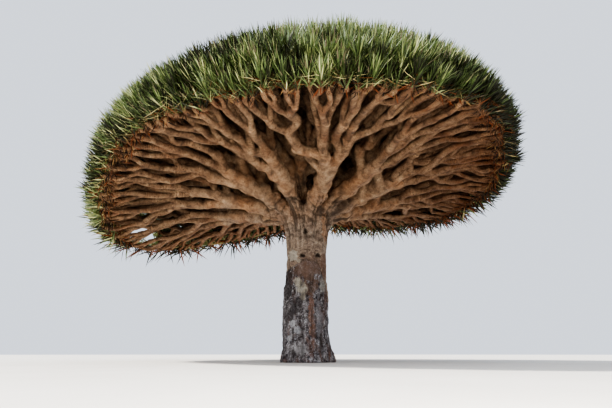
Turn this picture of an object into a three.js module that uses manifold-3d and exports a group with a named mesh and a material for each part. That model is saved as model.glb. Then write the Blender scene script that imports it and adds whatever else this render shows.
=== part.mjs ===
// Dragon blood tree: one stout trunk, an umbrella of forking boughs, and a low dome of stiff sword leaves.
// Millimetres, +Z up. The origin is the centre of the flat cut under the trunk, at ground level.
import * as THREE from "three";
import { mergeVertices } from "three/addons/utils/BufferGeometryUtils.js";
import Module from "manifold-3d";

const wasm = await Module();
wasm.setup();

// ---- Driving dimensions -------------------------------------------------------------------------------------------

// Trunk: radius at each height, from the cut at the ground, past the waist, to the flared head that carries the boughs.
const TRUNK_PROFILE = [
  [0, 492],
  [60, 474],
  [170, 452],
  [380, 437],
  [650, 434],
  [950, 430],
  [1250, 408],
  [1600, 378],
  [1900, 369],
  [2150, 378],
  [2360, 408],
  [2530, 462],
  [2680, 520],
  [2830, 540],
  [2980, 470],
  [3080, 300],
];
const TRUNK_SIDES = 18;
const TRUNK_LEAN = [0, -20, -20, 0]; // sideways offset of the centreline at the foot, a third, two thirds and the head
const FLARE_HEIGHT = 420; // the root flare dies out here
const FLARE_TOES = 5;
const FLARE_DEPTH = 46;

// Crown: the surface on which the branch tips lie is a flattened dome. Its radius and the height of its rim go round
// with the azimuth as a mean and then the cosine and sine terms of the first four harmonics.
const CROWN_CENTRE = [-25, 129];
const CROWN_TOP = 5010;
const CROWN_RADIUS = [4019, -222, 66, 7, -316, 68, 152, -22, 55];
const CROWN_RIM = [3206, 235, -67, -169, 14, 87, -221, 0, 20];
const LEAF_REACH = 430; // the leaves stand this far outside the branch tips
const MASS_INSIDE = 120; // and their dry bases reach this far inside them
const MASS_GAP = 56; // between neighbouring masses
const BAND_SPEED = 2800; // millimetres of the dome's arc to a radian of polar angle, where two bands meet
const BUMP = 34; // unevenness of the outer face of the foliage

// Masses: bands of the dome between two polar angles, each shared out between a number of masses.
const BANDS = [
  { name: "foliage_top", from: 0, to: 19, count: 1, start: 0 },
  { name: "foliage_inner", from: 19, to: 41, count: 3, start: 10 },
  { name: "foliage_mid", from: 41, to: 63, count: 6, start: 20 },
  { name: "foliage_rim", from: 63, to: 100, count: 9, start: 30 },
];
const FACET = 10; // degrees of azimuth between the facets of the foliage

// Boughs: azimuth at the trunk head, polar angle of leaving, and for each limb that it carries the azimuth and polar
// angle of its end under the foliage. The first limb is the bough itself; the others fork off it part of the way along.
const LOW_AZIMUTHS = [14, 47, 82, 116, 150, 182, 212, 244, 278, 310, 342];
const HIGH_AZIMUTHS = [28, 152, 268];
const LOW_LIMBS = [
  { turn: 8, polar: 80, fork: 0 },
  { turn: -8, polar: 81, fork: 0.24 },
  { turn: 1, polar: 53, fork: 0.15 }, // every second low bough goes without this one
];
const HIGH_LIMBS = [
  { turn: -27, polar: 31, fork: 0 },
  { turn: 33, polar: 30, fork: 0.18 },
  { turn: 5, polar: 52, fork: 0.1 },
  { turn: 8, polar: 9, fork: 0.3 },
];
const LOW_RADIUS = 176; // of a low bough where it leaves the head
const HIGH_RADIUS = 168;
const LIMB_TIP_RADIUS = 58;
const SIDE_SHARE = 0.84; // a side limb's radius against its bough's at the fork
const HEAD_HEIGHT_LOW = 2730;
const HEAD_HEIGHT_HIGH = 2900;
const HEAD_OUT_LOW = 300; // where a bough's centreline starts, from the trunk's axis
const HEAD_OUT_HIGH = 170;
const ARCH_LOW = 13; // a bough leaves this many degrees steeper than its chord and ends as much flatter
const ARCH_HIGH = 6;
const LIMB_SIDES = 6;
const LIMB_STEPS = 5;
const SOCKET = 90; // a limb's tip stands this deep in its mass
const CLEAR = 0.6; // clearance between neighbouring solids

// ---- Crown surface ------------------------------------------------------------------------------------------------

const rad = THREE.MathUtils.degToRad;

function harmonics(c, az) {
  let r = c[0];
  for (let k = 1; 2 * k < c.length; k++)
    r += c[2 * k - 1] * Math.cos(k * az) + c[2 * k] * Math.sin(k * az);
  return r;
}

// The point of the tip surface at an azimuth and a polar angle, in radians. The polar angle is 90 degrees at the rim.
function tipSurface(az, polar) {
  const a = harmonics(CROWN_RADIUS, az),
    z = harmonics(CROWN_RIM, az),
    s = Math.sin(polar),
    c = Math.cos(polar);
  return new THREE.Vector3(
    CROWN_CENTRE[0] + a * s * Math.cos(az),
    CROWN_CENTRE[1] + a * s * Math.sin(az),
    z * (1 - c) + CROWN_TOP * c,
  );
}

function tipNormal(az, polar) {
  const e = 1e-3,
    p = Math.max(polar, 0.02);
  const du = tipSurface(az, p + e).sub(tipSurface(az, p - e));
  const dv = tipSurface(az + e, p).sub(tipSurface(az - e, p));
  return du.cross(dv).normalize();
}

// ---- Solids -------------------------------------------------------------------------------------------------------

function solidOf(geometry) {
  const g = geometry.clone();
  g.deleteAttribute("normal");
  g.deleteAttribute("uv");
  const merged = mergeVertices(g, 1e-3);
  const v = Float32Array.from(merged.attributes.position.array);
  const t = Uint32Array.from(merged.index.array);
  let made = new wasm.Manifold(
    new wasm.Mesh({ numProp: 3, vertProperties: v, triVerts: t }),
  );
  if (made.volume() < 0) {
    for (let i = 0; i < t.length; i += 3) [t[i + 1], t[i + 2]] = [t[i + 2], t[i + 1]];
    made = new wasm.Manifold(
      new wasm.Mesh({ numProp: 3, vertProperties: v, triVerts: t }),
    );
  }
  return made;
}

function geometryOf(solid) {
  const m = solid.getMesh(),
    n = m.numProp,
    v = new Float32Array(m.numVert * 3);
  for (let i = 0; i < m.numVert; i++) v.set(m.vertProperties.subarray(i * n, i * n + 3), i * 3);
  return new THREE.BufferGeometry()
    .setAttribute("position", new THREE.BufferAttribute(v, 3))
    .setIndex(new THREE.BufferAttribute(Uint32Array.from(m.triVerts), 1));
}

// The largest body of a solid: a cut may leave a sliver behind.
function largest(solid) {
  return solid.decompose().reduce((a, b) => (b.volume() > a.volume() ? b : a));
}

// ---- Trunk --------------------------------------------------------------------------------------------------------

const leanCurve = new THREE.CatmullRomCurve3(
  TRUNK_LEAN.map((x, i) => new THREE.Vector3(x, 0, (i * 2980) / 3)),
);

function leanAt(z) {
  return leanCurve.getPoint(THREE.MathUtils.clamp(z / 2980, 0, 1)).x;
}

function trunkGeometry(grow) {
  const profile = TRUNK_PROFILE.map(([z, r]) => new THREE.Vector2(r + grow, z));
  profile.unshift(new THREE.Vector2(0, 0));
  profile.push(new THREE.Vector2(0, TRUNK_PROFILE.at(-1)[0] + 30 + grow));
  const g = new THREE.LatheGeometry(profile, TRUNK_SIDES).rotateX(Math.PI / 2);
  const p = g.attributes.position;
  for (let i = 0; i < p.count; i++) {
    const x = p.getX(i),
      y = p.getY(i),
      z = p.getZ(i),
      az = Math.atan2(y, x),
      foot = Math.max(0, 1 - z / FLARE_HEIGHT),
      out = Math.hypot(x, y);
    const r = out > 1 ? out + FLARE_DEPTH * foot * foot * Math.cos(FLARE_TOES * az + 0.6) : 0;
    p.setXYZ(i, r * Math.cos(az) + leanAt(z), r * Math.sin(az), z);
  }
  return g;
}

// ---- Boughs and limbs ---------------------------------------------------------------------------------------------

// A limb is a cylinder bent along a curve and tapered from one radius to another.
function limbGeometry({ curve, r0, r1 }, grow) {
  const g = new THREE.CylinderGeometry(1, 1, 1, LIMB_SIDES, LIMB_STEPS).rotateX(Math.PI / 2);
  const p = g.attributes.position;
  const up = new THREE.Vector3(0, 0, 1);
  for (let i = 0; i < p.count; i++) {
    const t = p.getZ(i) + 0.5,
      at = curve.getPoint(t),
      along = curve.getTangent(t),
      side = new THREE.Vector3().crossVectors(along, up).normalize(),
      over = new THREE.Vector3().crossVectors(side, along),
      r = r0 + (r1 - r0) * Math.pow(t, 0.8) + grow;
    if (grow && (t < 1e-6 || t > 1 - 1e-6)) at.addScaledVector(along, t < 0.5 ? -grow : grow);
    at.addScaledVector(side, r * p.getX(i)).addScaledVector(over, r * p.getY(i));
    p.setXYZ(i, at.x, at.y, at.z);
  }
  return g;
}

// A curve from a to b that leaves along da and arrives along db.
function bend(a, da, b, db) {
  const reach = a.distanceTo(b) / 3;
  return new THREE.CubicBezierCurve3(
    a,
    a.clone().addScaledVector(da, reach),
    b.clone().addScaledVector(db, -reach),
    b,
  );
}

function limbEnd(az, polar) {
  const a = rad(az),
    p = rad(polar);
  const at = tipSurface(a, p).addScaledVector(tipNormal(a, p), -MASS_INSIDE + SOCKET);
  return at;
}

// Turned up or down by an angle, in the vertical plane of the direction.
function tilted(direction, degrees) {
  const flat = Math.hypot(direction.x, direction.y),
    az = Math.atan2(direction.y, direction.x),
    el = Math.atan2(direction.z, flat) + rad(degrees);
  return new THREE.Vector3(Math.cos(az) * Math.cos(el), Math.sin(az) * Math.cos(el), Math.sin(el));
}

const limbs = [];
function growBough(name, az, plans, r0, out, height, arch) {
  const a = rad(az);
  const start = new THREE.Vector3(out * Math.cos(a) + leanAt(height), out * Math.sin(a), height);
  let bough = null;
  plans.forEach((plan, i) => {
    const end = limbEnd(az + plan.turn, plan.polar);
    const from = i ? bough.curve.getPoint(plan.fork) : start;
    const chord = end.clone().sub(from).normalize();
    const leave = i
      ? bough.curve.getTangent(plan.fork).lerp(chord, 0.55).normalize()
      : tilted(chord, arch);
    const arrive = tilted(chord, -arch)
      .lerp(tipNormal(rad(az + plan.turn), rad(plan.polar)), 0.3)
      .normalize();
    const limb = {
      name: i ? name.replace("bough", "limb") + "_" + "abc"[i - 1] : name,
      curve: bend(from, leave, end, arrive),
      r0: i ? SIDE_SHARE * (bough.r0 + (bough.r1 - bough.r0) * Math.pow(plan.fork, 0.8)) : r0,
      r1: LIMB_TIP_RADIUS,
    };
    if (!i) bough = limb;
    limbs.push(limb);
  });
}

const two = (n) => String(n).padStart(2, "0");
LOW_AZIMUTHS.forEach((az, i) => {
  const plans = LOW_LIMBS.slice(0, i % 2 ? 2 : 3);
  growBough("bough_low_" + two(i + 1), az, plans, LOW_RADIUS, HEAD_OUT_LOW, HEAD_HEIGHT_LOW, ARCH_LOW);
});
HIGH_AZIMUTHS.forEach((az, i) =>
  growBough("bough_high_" + two(i + 1), az, HIGH_LIMBS, HIGH_RADIUS, HEAD_OUT_HIGH, HEAD_HEIGHT_HIGH, ARCH_HIGH),
);

// ---- Foliage ------------------------------------------------------------------------------------------------------

// Waves of the outer face, so that no mass is a plain slice of a dome.
function bump(az, polar, seed) {
  return (
    BUMP *
    Math.min(1, polar / 0.6) *
    (Math.sin(7 * az + 3 * polar + seed) * Math.sin(6 * polar + seed * 1.7) +
      0.5 * Math.sin(13 * az - 5 * polar + seed * 2.3))
  );
}

// A shell of foliage over the tip surface: share runs from the inner face, 0, to the leaf tips, 1.
function shellPoint(az, polar, share, seed) {
  const outer = LEAF_REACH + bump(az, polar, seed) - BUMP,
    deep = -MASS_INSIDE + share * (outer + MASS_INSIDE);
  return tipSurface(az, polar).addScaledVector(tipNormal(az, polar), deep);
}

function bandMass(band, k) {
  const wide = 360 / band.count;
  const g = new THREE.BoxGeometry(1, 1, 1, wide / FACET, band.to > 90 ? 4 : 3, 1);
  const p = g.attributes.position;
  const about = tipSurface(0, rad((band.from + band.to) / 2)).x;
  const trim = MASS_GAP / 2 / about;
  for (let i = 0; i < p.count; i++) {
    const polar = rad(band.from + (0.5 - p.getY(i)) * (band.to - band.from));
    const az = rad(band.start + (k + 0.5) * wide) + p.getX(i) * (rad(wide) - 2 * trim);
    const edge = (MASS_GAP / 2 / BAND_SPEED) * Math.round(2 * p.getY(i) * 0.55);
    const at = shellPoint(az, polar + edge, p.getZ(i) + 0.5, k * 1.9 + band.from);
    p.setXYZ(i, at.x, at.y, at.z);
  }
  return g;
}

function topMass(band) {
  const rings = [
    [0, 0],
    [1, 0],
    [1, 1],
    [0.55, 1],
    [0, 1],
  ].map(([r, s]) => new THREE.Vector2(r, s));
  const g = new THREE.LatheGeometry(rings, 360 / FACET).rotateX(Math.PI / 2);
  const p = g.attributes.position;
  const end = rad(band.to) - MASS_GAP / 2 / BAND_SPEED;
  for (let i = 0; i < p.count; i++) {
    const r = Math.min(1, Math.hypot(p.getX(i), p.getY(i))),
      az = r > 1e-4 ? Math.atan2(p.getY(i), p.getX(i)) : 0;
    const at = shellPoint(az, Math.max(r * end, 1e-5), p.getZ(i), 2);
    p.setXYZ(i, at.x, at.y, at.z);
  }
  return g;
}

// ---- Assembly -----------------------------------------------------------------------------------------------------

const bark = (colour) =>
  new THREE.MeshStandardMaterial({ color: colour, roughness: 0.92, metalness: 0 });
const trunkBark = bark(0x75695e);
const boughBark = bark(0x9a7a58);
const leafGreen = new THREE.MeshStandardMaterial({ color: 0x5f7146, roughness: 0.6, metalness: 0 });

const tree = new THREE.Group();
function add(name, solid, material) {
  const mesh = new THREE.Mesh(geometryOf(solid), material);
  mesh.name = name;
  tree.add(mesh);
}

const trunk = solidOf(trunkGeometry(0));
add("trunk", trunk, trunkBark);

// Each limb is cut back by the trunk and by the limbs made before it, with a little clearance.
let before = solidOf(trunkGeometry(CLEAR));
for (const limb of limbs) {
  const cut = largest(solidOf(limbGeometry(limb, 0)).subtract(before));
  before = before.add(solidOf(limbGeometry(limb, CLEAR)));
  add(limb.name, cut, boughBark);
}

// The masses have sockets for the limbs' tips.
for (const band of BANDS)
  for (let k = 0; k < band.count; k++) {
    const whole = solidOf(band.count === 1 ? topMass(band) : bandMass(band, k));
    const name = band.count === 1 ? band.name : band.name + "_" + two(k + 1);
    add(name, largest(whole.subtract(before)), leafGreen);
  }

export default tree;
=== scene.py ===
"""Looks of the dragon blood tree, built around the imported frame. Metres, +Z up, the trunk's foot at the origin.

The limbs of the frame are repeated here as curves. From them the branches fork on by a seeded rule until each ends in a
rosette of sword leaves on the crown's tip surface.
"""

import math

import bpy
import numpy as np
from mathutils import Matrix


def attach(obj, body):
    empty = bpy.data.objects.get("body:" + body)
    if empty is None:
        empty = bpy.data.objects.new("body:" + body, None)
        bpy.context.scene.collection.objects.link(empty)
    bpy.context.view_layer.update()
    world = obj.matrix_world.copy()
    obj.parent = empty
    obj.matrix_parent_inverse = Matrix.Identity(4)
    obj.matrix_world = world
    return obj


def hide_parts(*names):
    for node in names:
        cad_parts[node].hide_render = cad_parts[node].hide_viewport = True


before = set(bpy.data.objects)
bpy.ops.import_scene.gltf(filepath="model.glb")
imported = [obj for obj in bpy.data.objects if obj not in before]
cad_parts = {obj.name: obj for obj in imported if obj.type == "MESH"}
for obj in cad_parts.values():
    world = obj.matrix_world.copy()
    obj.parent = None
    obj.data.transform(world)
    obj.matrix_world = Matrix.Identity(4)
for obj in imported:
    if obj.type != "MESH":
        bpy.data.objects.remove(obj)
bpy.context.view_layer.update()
rng = np.random.default_rng(74)

# ---- Driving sizes, as in the frame ---------------------------------------------------------------------------------

TRUNK_PROFILE = [
    (0.0, 0.492), (0.06, 0.474), (0.17, 0.452), (0.38, 0.437), (0.65, 0.434), (0.95, 0.430), (1.25, 0.408), (1.6, 0.378),
    (1.9, 0.369), (2.15, 0.378), (2.36, 0.408), (2.53, 0.462), (2.68, 0.520), (2.83, 0.540), (2.98, 0.470), (3.08, 0.300),
]
FLARE_HEIGHT, FLARE_TOES, FLARE_DEPTH = 0.42, 5, 0.046
CROWN_CENTRE = np.array([-0.025, 0.129])
CROWN_TOP = 5.01
CROWN_RADIUS = np.array([4.019, -0.222, 0.066, 0.007, -0.316, 0.068, 0.152, -0.022, 0.055])
CROWN_RIM = np.array([3.206, 0.235, -0.067, -0.169, 0.014, 0.087, -0.221, 0.0, 0.020])
LOW_AZIMUTHS = [14, 47, 82, 116, 150, 182, 212, 244, 278, 310, 342]
HIGH_AZIMUTHS = [28, 152, 268]
LOW_LIMBS = [(8, 80, 0.0), (-8, 81, 0.24), (1, 53, 0.15)]  # every second low bough goes without the last of them
HIGH_LIMBS = [(-27, 31, 0.0), (33, 30, 0.18), (5, 52, 0.1), (8, 9, 0.3)]
HEAD_LOW, HEAD_HIGH = (0.300, 2.730), (0.170, 2.900)
ARCH_LOW, ARCH_HIGH = 13, 6
TIP_IN = 0.03  # a limb of the frame ends this far inside the tip surface

# ---- Driving sizes of the growth ------------------------------------------------------------------------------------

TIPS = 2400
TIP_RADIUS = 0.040
PIPE = 3.6  # a parent's radius to this power is the sum of its children's
LAST_POLAR = 89.5
MAIN = 19  # branches that carry this many tips or more are fused into one skin
LEAVES = 62  # in a rosette
DEAD = 6  # under it
SKIN_VOXEL = 0.023
SKIN_TRIANGLES = 150_000
# Places in the far left side where the photograph shows sky, and how wide each opening is. They are clear along its line of sight.
OPENINGS = [((-4.08, 2.00, 3.07), 0.19), ((-3.86, 2.10, 2.83), 0.11), ((-4.14, 1.95, 2.86), 0.10)]
EYE = np.array([-0.024, -8.54, 0.15])


def unit(v):
    v = np.asarray(v, float)
    return v / np.maximum(np.linalg.norm(v, axis=-1, keepdims=True), 1e-12)


def harmonics(c, az):
    r = c[0] + 0 * az
    for k in range(1, (len(c) + 1) // 2):
        r = r + c[2 * k - 1] * np.cos(k * az) + c[2 * k] * np.sin(k * az)
    return r


def tip_surface(az, polar):
    az, polar = np.asarray(az, float), np.asarray(polar, float)
    a, z = harmonics(CROWN_RADIUS, az), harmonics(CROWN_RIM, az)
    s, c = np.sin(polar), np.cos(polar)
    return np.stack(
        [CROWN_CENTRE[0] + a * s * np.cos(az), CROWN_CENTRE[1] + a * s * np.sin(az), z * (1 - c) + CROWN_TOP * c], -1
    )


def tip_normal(az, polar):
    e, p = 1e-3, np.maximum(polar, 0.02)
    du = tip_surface(az, p + e) - tip_surface(az, p - e)
    dv = tip_surface(az + e, p) - tip_surface(az - e, p)
    return unit(np.cross(du, dv))


def on_dome(p):
    """Azimuth and polar angle of points near the tip surface."""
    d = p[..., :2] - CROWN_CENTRE
    az = np.arctan2(d[..., 1], d[..., 0])
    a, z = harmonics(CROWN_RADIUS, az), harmonics(CROWN_RIM, az)
    return az, np.arctan2(np.hypot(d[..., 0], d[..., 1]) / a, (p[..., 2] - z) / (CROWN_TOP - z))


def lean_at(z):
    t = np.clip(np.asarray(z, float) / 2.98, 0, 1) * 3
    return np.interp(t, [0, 0.5, 1, 1.5, 2, 2.5, 3], [0, -0.0113, -0.020, -0.0225, -0.020, -0.0113, 0])


def noise3(p, seed=0):
    """Smooth value noise from -1 to 1."""
    p = np.asarray(p, float) + 37.1 * seed
    i = np.floor(p).astype(np.int64)
    f = p - i
    f = f * f * (3 - 2 * f)
    out = 0.0
    for dx in (0, 1):
        for dy in (0, 1):
            for dz in (0, 1):
                h = ((i[..., 0] + dx) * 73856093) ^ ((i[..., 1] + dy) * 19349663) ^ ((i[..., 2] + dz) * 83492791)
                h = (h ^ (h >> 13)) * 1274126177 & 0x7FFFFFFF
                h = (h ^ (h >> 15)) * 2246822519 & 0x7FFFFFFF
                w = (f[..., 0] if dx else 1 - f[..., 0]) * (f[..., 1] if dy else 1 - f[..., 1])
                out = out + w * (f[..., 2] if dz else 1 - f[..., 2]) * (h / 0x3FFFFFFF - 1)
    return out


def opened(p, more=0.0):
    """Which points stand in an opening."""
    gone = np.zeros(p.shape[:-1], bool)
    for at, wide in OPENINGS:
        way, off = unit(np.array(at) - EYE), p - np.array(at)
        along = off @ way
        gone |= (np.abs(along) < 0.9) & (np.linalg.norm(off - along[..., None] * way, axis=-1) < wide + more)
    return gone


def bezier(c, t):
    t = np.asarray(t, float)[..., None]
    return (1 - t) ** 3 * c[0] + 3 * (1 - t) ** 2 * t * c[1] + 3 * (1 - t) * t * t * c[2] + t**3 * c[3]


def bezier_way(c, t):
    t = np.asarray(t, float)[..., None]
    return unit((1 - t) ** 2 * (c[1] - c[0]) + 2 * (1 - t) * t * (c[2] - c[1]) + t * t * (c[3] - c[2]))


def bezier_length(c):
    return float(np.linalg.norm(np.diff(bezier(c, np.linspace(0, 1, 24)), axis=0), axis=1).sum())


def bend(a, da, b, db):
    reach = np.linalg.norm(b - a) / 3
    return np.array([a, a + da * reach, b - db * reach, b])


def tilted(d, degrees):
    az, el = math.atan2(d[1], d[0]), math.atan2(d[2], math.hypot(d[0], d[1])) + math.radians(degrees)
    return np.array([math.cos(az) * math.cos(el), math.sin(az) * math.cos(el), math.sin(el)])


# ---- Camera first, at the photograph's angle ------------------------------------------------------------------------

camera = bpy.data.objects.new("camera", bpy.data.cameras.new("camera"))
bpy.context.scene.collection.objects.link(camera)
camera.data.lens = 26.18
camera.data.sensor_width = 36
camera.data.sensor_fit = "HORIZONTAL"
camera.data.clip_end = 400
camera.location = EYE
camera.rotation_euler = (math.radians(90 + 18.56), 0, 0)
bpy.context.scene.camera = camera

# ---- The frame's limbs ----------------------------------------------------------------------------------------------


def path_to(start, arch, az, polar, inside=TIP_IN):
    """The course of a branch from the head to a place on the tip surface, as the frame's first limbs run."""
    end = tip_surface(az, polar) - inside * tip_normal(az, polar)
    chord = unit(end - start)
    arrive = unit(0.7 * tilted(chord, -arch) + 0.3 * tip_normal(az, polar))
    return bend(start, tilted(chord, arch), end, arrive)


limbs = []
for azimuths, plans, (out, height), arch in (
    (LOW_AZIMUTHS, LOW_LIMBS, HEAD_LOW, ARCH_LOW),
    (HIGH_AZIMUTHS, HIGH_LIMBS, HEAD_HIGH, ARCH_HIGH),
):
    for number, azimuth in enumerate(azimuths):
        a = math.radians(azimuth)
        start = np.array([out * math.cos(a) + float(lean_at(height)), out * math.sin(a), height])
        bough = None
        for turn, polar, fork in plans[: 2 if azimuths is LOW_AZIMUTHS and number % 2 else None]:
            az, ps = a + math.radians(turn), math.radians(polar)
            if bough is None:
                curve = path_to(start, arch, az, ps)
            else:
                origin = bezier(bough["curve"], fork)
                end = tip_surface(az, ps) - TIP_IN * tip_normal(az, ps)
                chord = unit(end - origin)
                leave = unit(0.45 * bezier_way(bough["curve"], fork) + 0.55 * chord)
                arrive = unit(0.7 * tilted(chord, -arch) + 0.3 * tip_normal(az, ps))
                curve = bend(origin, leave, end, arrive)
            limb = {"curve": curve, "fork": fork, "bough": bough, "sides": [], "start": start, "arch": arch}
            if bough is None:
                bough = limb
            else:
                bough["sides"].append(limb)
            limbs.append(limb)

# ---- Branch tips, evenly spread over the dome -----------------------------------------------------------------------


def last_polar(az):
    """The lowest tips stand a little higher on the far right, where their leaves hang longest."""
    return np.radians(LAST_POLAR - 7.0 * np.clip(1.7 - np.abs((np.degrees(az) % 360) - 54) / 40, 0, 1))


def spread_tips():
    k = np.arange(TIPS)
    share = (k + 0.5) / TIPS
    polars = np.radians(np.linspace(0.5, LAST_POLAR, 200))
    grown = np.cumsum([np.sin(p) * 4.0 * math.hypot(4.0 * math.cos(p), 1.8 * math.sin(p)) for p in polars])
    polar = np.interp(share, grown / grown[-1], polars)
    az = (k * 2.399963) % (2 * math.pi)
    az, polar = az + rng.normal(0, 0.02, TIPS), polar + rng.normal(0, 0.02, TIPS)
    at = tip_surface(az, polar)
    for _ in range(26):
        gap = at[:, None] - at[None]
        # near the rim the tips stand closer side by side than one above the other
        across = gap[..., 0] * -np.sin(az)[:, None] + gap[..., 1] * np.cos(az)[:, None]
        tight = (1 + 0.42 * np.clip((np.degrees(polar) - 52) / 28, 0, 1))[:, None] ** 2
        d2 = (gap**2).sum(-1) / tight + across**2 * (tight - 1 / tight) + np.eye(TIPS) * 9
        push = (gap * (np.exp(-d2 * TIPS / 60) / np.sqrt(d2))[..., None]).sum(1)
        at = at + 2.0 / math.sqrt(TIPS) * push
        az, polar = on_dome(at)
        polar = np.minimum(polar, last_polar(az))
        at = tip_surface(az, polar)
    az, polar = az + rng.normal(0, 0.008, TIPS), polar + rng.normal(0, 0.011, TIPS)
    clear = ~opened(tip_surface(az, polar), 0.04)
    return az[clear], polar[clear]


tip_az, tip_polar = spread_tips()
TIPS = len(tip_az)
tip_out = tip_normal(tip_az, tip_polar)
at_rim = np.clip((np.degrees(tip_polar) - 72) / 14, 0, 1)
facing = -np.sin(tip_az)  # 1 on the side that the camera sees from outside, -1 on the far side


def round_about(degrees, wide):
    """1 for the tips at this azimuth, falling off on both sides of it."""
    return np.exp(-((((np.degrees(tip_az) - degrees + 180) % 360 - 180) / wide) ** 2))


tip_at = tip_surface(tip_az, tip_polar) + tip_out * rng.normal(-0.01, 0.034, TIPS)[:, None]
# a fuller shoulder on the near left, and along the near side, where the leaves are shorter
fuller = 0.09 * round_about(207, 16) * np.exp(-(((np.degrees(tip_polar) - 64) / 16) ** 2))
fuller += 0.06 * np.clip((facing - 0.35) / 0.3, 0, 1) * np.exp(-(((np.degrees(tip_polar) - 57) / 14) ** 2))
tip_at += tip_out * fuller[:, None]

# Each tip belongs to one limb. The weights even out how many each limb carries.
ends = np.array([limb["curve"][3] for limb in limbs])
weight = np.zeros(len(limbs))
for k in range(80):
    cost = ((tip_at[:, None] - ends[None]) ** 2).sum(-1) - weight
    owner = cost.argmin(1)
    weight += 18 / TIPS / (1 + 0.03 * k) * (TIPS / len(limbs) - np.bincount(owner, minlength=len(limbs)))

# ---- Growth ---------------------------------------------------------------------------------------------------------

segments = []  # {"c": 4 control points, "r": radius, "n": tips carried, "end": radius at the end}
tip_way = np.zeros((TIPS, 3))


def radius(n):
    return TIP_RADIUS * n ** (1 / PIPE)


def add_segment(c, n, first=False, wide=1.0):
    segments.append({"c": np.asarray(c), "n": n, "r": radius(n) * wide, "first": first})


def halves(ids, main):
    at = tip_at[ids]
    off = at - at.mean(0)
    way = np.linalg.svd(off, full_matrices=False)[2][0]
    order = np.argsort(off @ way)
    cut = int(np.clip(round(len(ids) * rng.uniform(0.4, 0.6)), 1, len(ids) - 1))
    one, two = ids[order[:cut]], ids[order[cut:]]
    return (two, one) if main is not None and main in two else (one, two)


def goal(ids, start, start_way, limb, base, step, on_main):
    """Where a branch that starts here and carries these tips forks next, and its direction there."""
    n = len(ids)
    if n == 1:
        i = ids[0]
        # near the camera the last row stands up and the rows above it look outwards
        last = min(max((math.degrees(tip_polar[i]) - 77) / 8, 0), 1)
        rise = (0.55 + (1.2 * last - 0.4 if facing[i] > 0 else 0.3) * facing[i]) * math.sin(tip_polar[i]) ** 2
        return tip_at[i], unit(tip_out[i] + 0.15 * unit(tip_at[i] - limb["start"]) + np.array([0, 0, rise]))
    back = step * (math.log2(n) - 0.12) * rng.uniform(0.9, 1.1)
    if on_main:
        c = limb["curve"]
    else:
        az, polar = tip_az[ids], tip_polar[ids]
        u = np.stack([np.sin(polar) * np.cos(az), np.sin(polar) * np.sin(az), np.cos(polar)], -1).mean(0)
        c = path_to(limb["start"], limb["arch"], math.atan2(u[1], u[0]), math.atan2(math.hypot(u[0], u[1]), u[2]))
    t = 1 - back / bezier_length(c)
    t = max(t, base)
    # always a good way onwards, so that no branch doubles back
    while (bezier(c, t) - start) @ start_way < 0.55 * step and t < 0.95:
        t += 0.03
    at, way = bezier(c, t), bezier_way(c, t)
    stray = 0.02 if on_main else 0.035
    return at + rng.normal(0, stray, 3), unit(way + rng.normal(0, 0.07, 3))


def grow(ids, at, way, limb, base, step, main):
    """Forks a branch that has reached this point, and grows both arms on."""
    if len(ids) == 1:
        return
    pair = halves(ids, main)
    goals = [goal(part, at, way, limb, base, step, main is not None and k == 0) for k, part in enumerate(pair)]
    side = goals[0][0] - goals[1][0]
    side = side - way * (side @ way)
    side = unit(side + 1e-6)
    for k, part in enumerate(pair):
        to, to_way = goals[k]
        reach = np.linalg.norm(to - at)
        share = len(part) / len(ids)
        keeps = main is not None and k == 0
        wide = rng.uniform(22, 36)
        angle = math.radians(rng.uniform(6, 12) if keeps else wide * (1.25 - 0.6 * share))
        leave = way * math.cos(angle) + side * (1 if k == 0 else -1) * math.sin(angle)
        wander = rng.normal(0, 0.022, (2, 3)) * reach
        c = [at, at + leave * reach * 0.4 + wander[0], to - to_way * reach * 0.36 + wander[1], to]
        add_segment(c, len(part))
        if len(part) == 1:
            tip_way[part[0]] = to_way
        grow(part, to, to_way, limb, base, step, main if keeps else None)


def grow_limb(limb, ids, base):
    """From the last fork that the frame makes on this limb."""
    main = ids[((tip_at[ids] - limb["curve"][3]) ** 2).sum(-1).argmin()]
    left = bezier_length(limb["curve"]) * (1 - base)
    step = left / (math.log2(len(ids)) + 0.75)
    t = max(base + 0.02, 1 - step * (math.log2(len(ids)) - 0.12) / bezier_length(limb["curve"]))
    grow(ids, bezier(limb["curve"], t), bezier_way(limb["curve"], t), limb, base, step, main)
    return t


def piece_of(c, t0, t1):
    """Control points of the part of a curve between two places on it."""
    d = (t1 - t0) / 3

    def rate(t):
        return 3 * ((1 - t) ** 2 * (c[1] - c[0]) + 2 * (1 - t) * t * (c[2] - c[1]) + t * t * (c[3] - c[2]))

    p0, p3 = bezier(c, t0), bezier(c, t1)
    return [p0, p0 + rate(t0) * d, p3 - rate(t1) * d, p3]


owned = [np.flatnonzero(owner == k) for k in range(len(limbs))]
for k, limb in enumerate(limbs):
    sides = sorted(limb["sides"], key=lambda s: s["fork"])
    base = sides[-1]["fork"] if sides else 0.0
    last = grow_limb(limb, owned[k], base)
    stops = [0.0] + [s["fork"] for s in sides] + [last]
    index = {id(x): j for j, x in enumerate(limbs)}
    for j in range(len(stops) - 1):
        carried = len(owned[k]) + sum(len(owned[index[id(s)]]) for s in sides[j:])
        c = piece_of(limb["curve"], stops[j], stops[j + 1])
        if limb["bough"] is None and j == 0:
            c[0] = c[0] - unit(c[1] - c[0]) * 0.18
        add_segment(c, carried, first=limb["bough"] is None and j == 0)

print("segments", len(segments), "forks over", MAIN, sum(s["n"] >= MAIN for s in segments))

# ---- Meshes ---------------------------------------------------------------------------------------------------------


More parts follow.
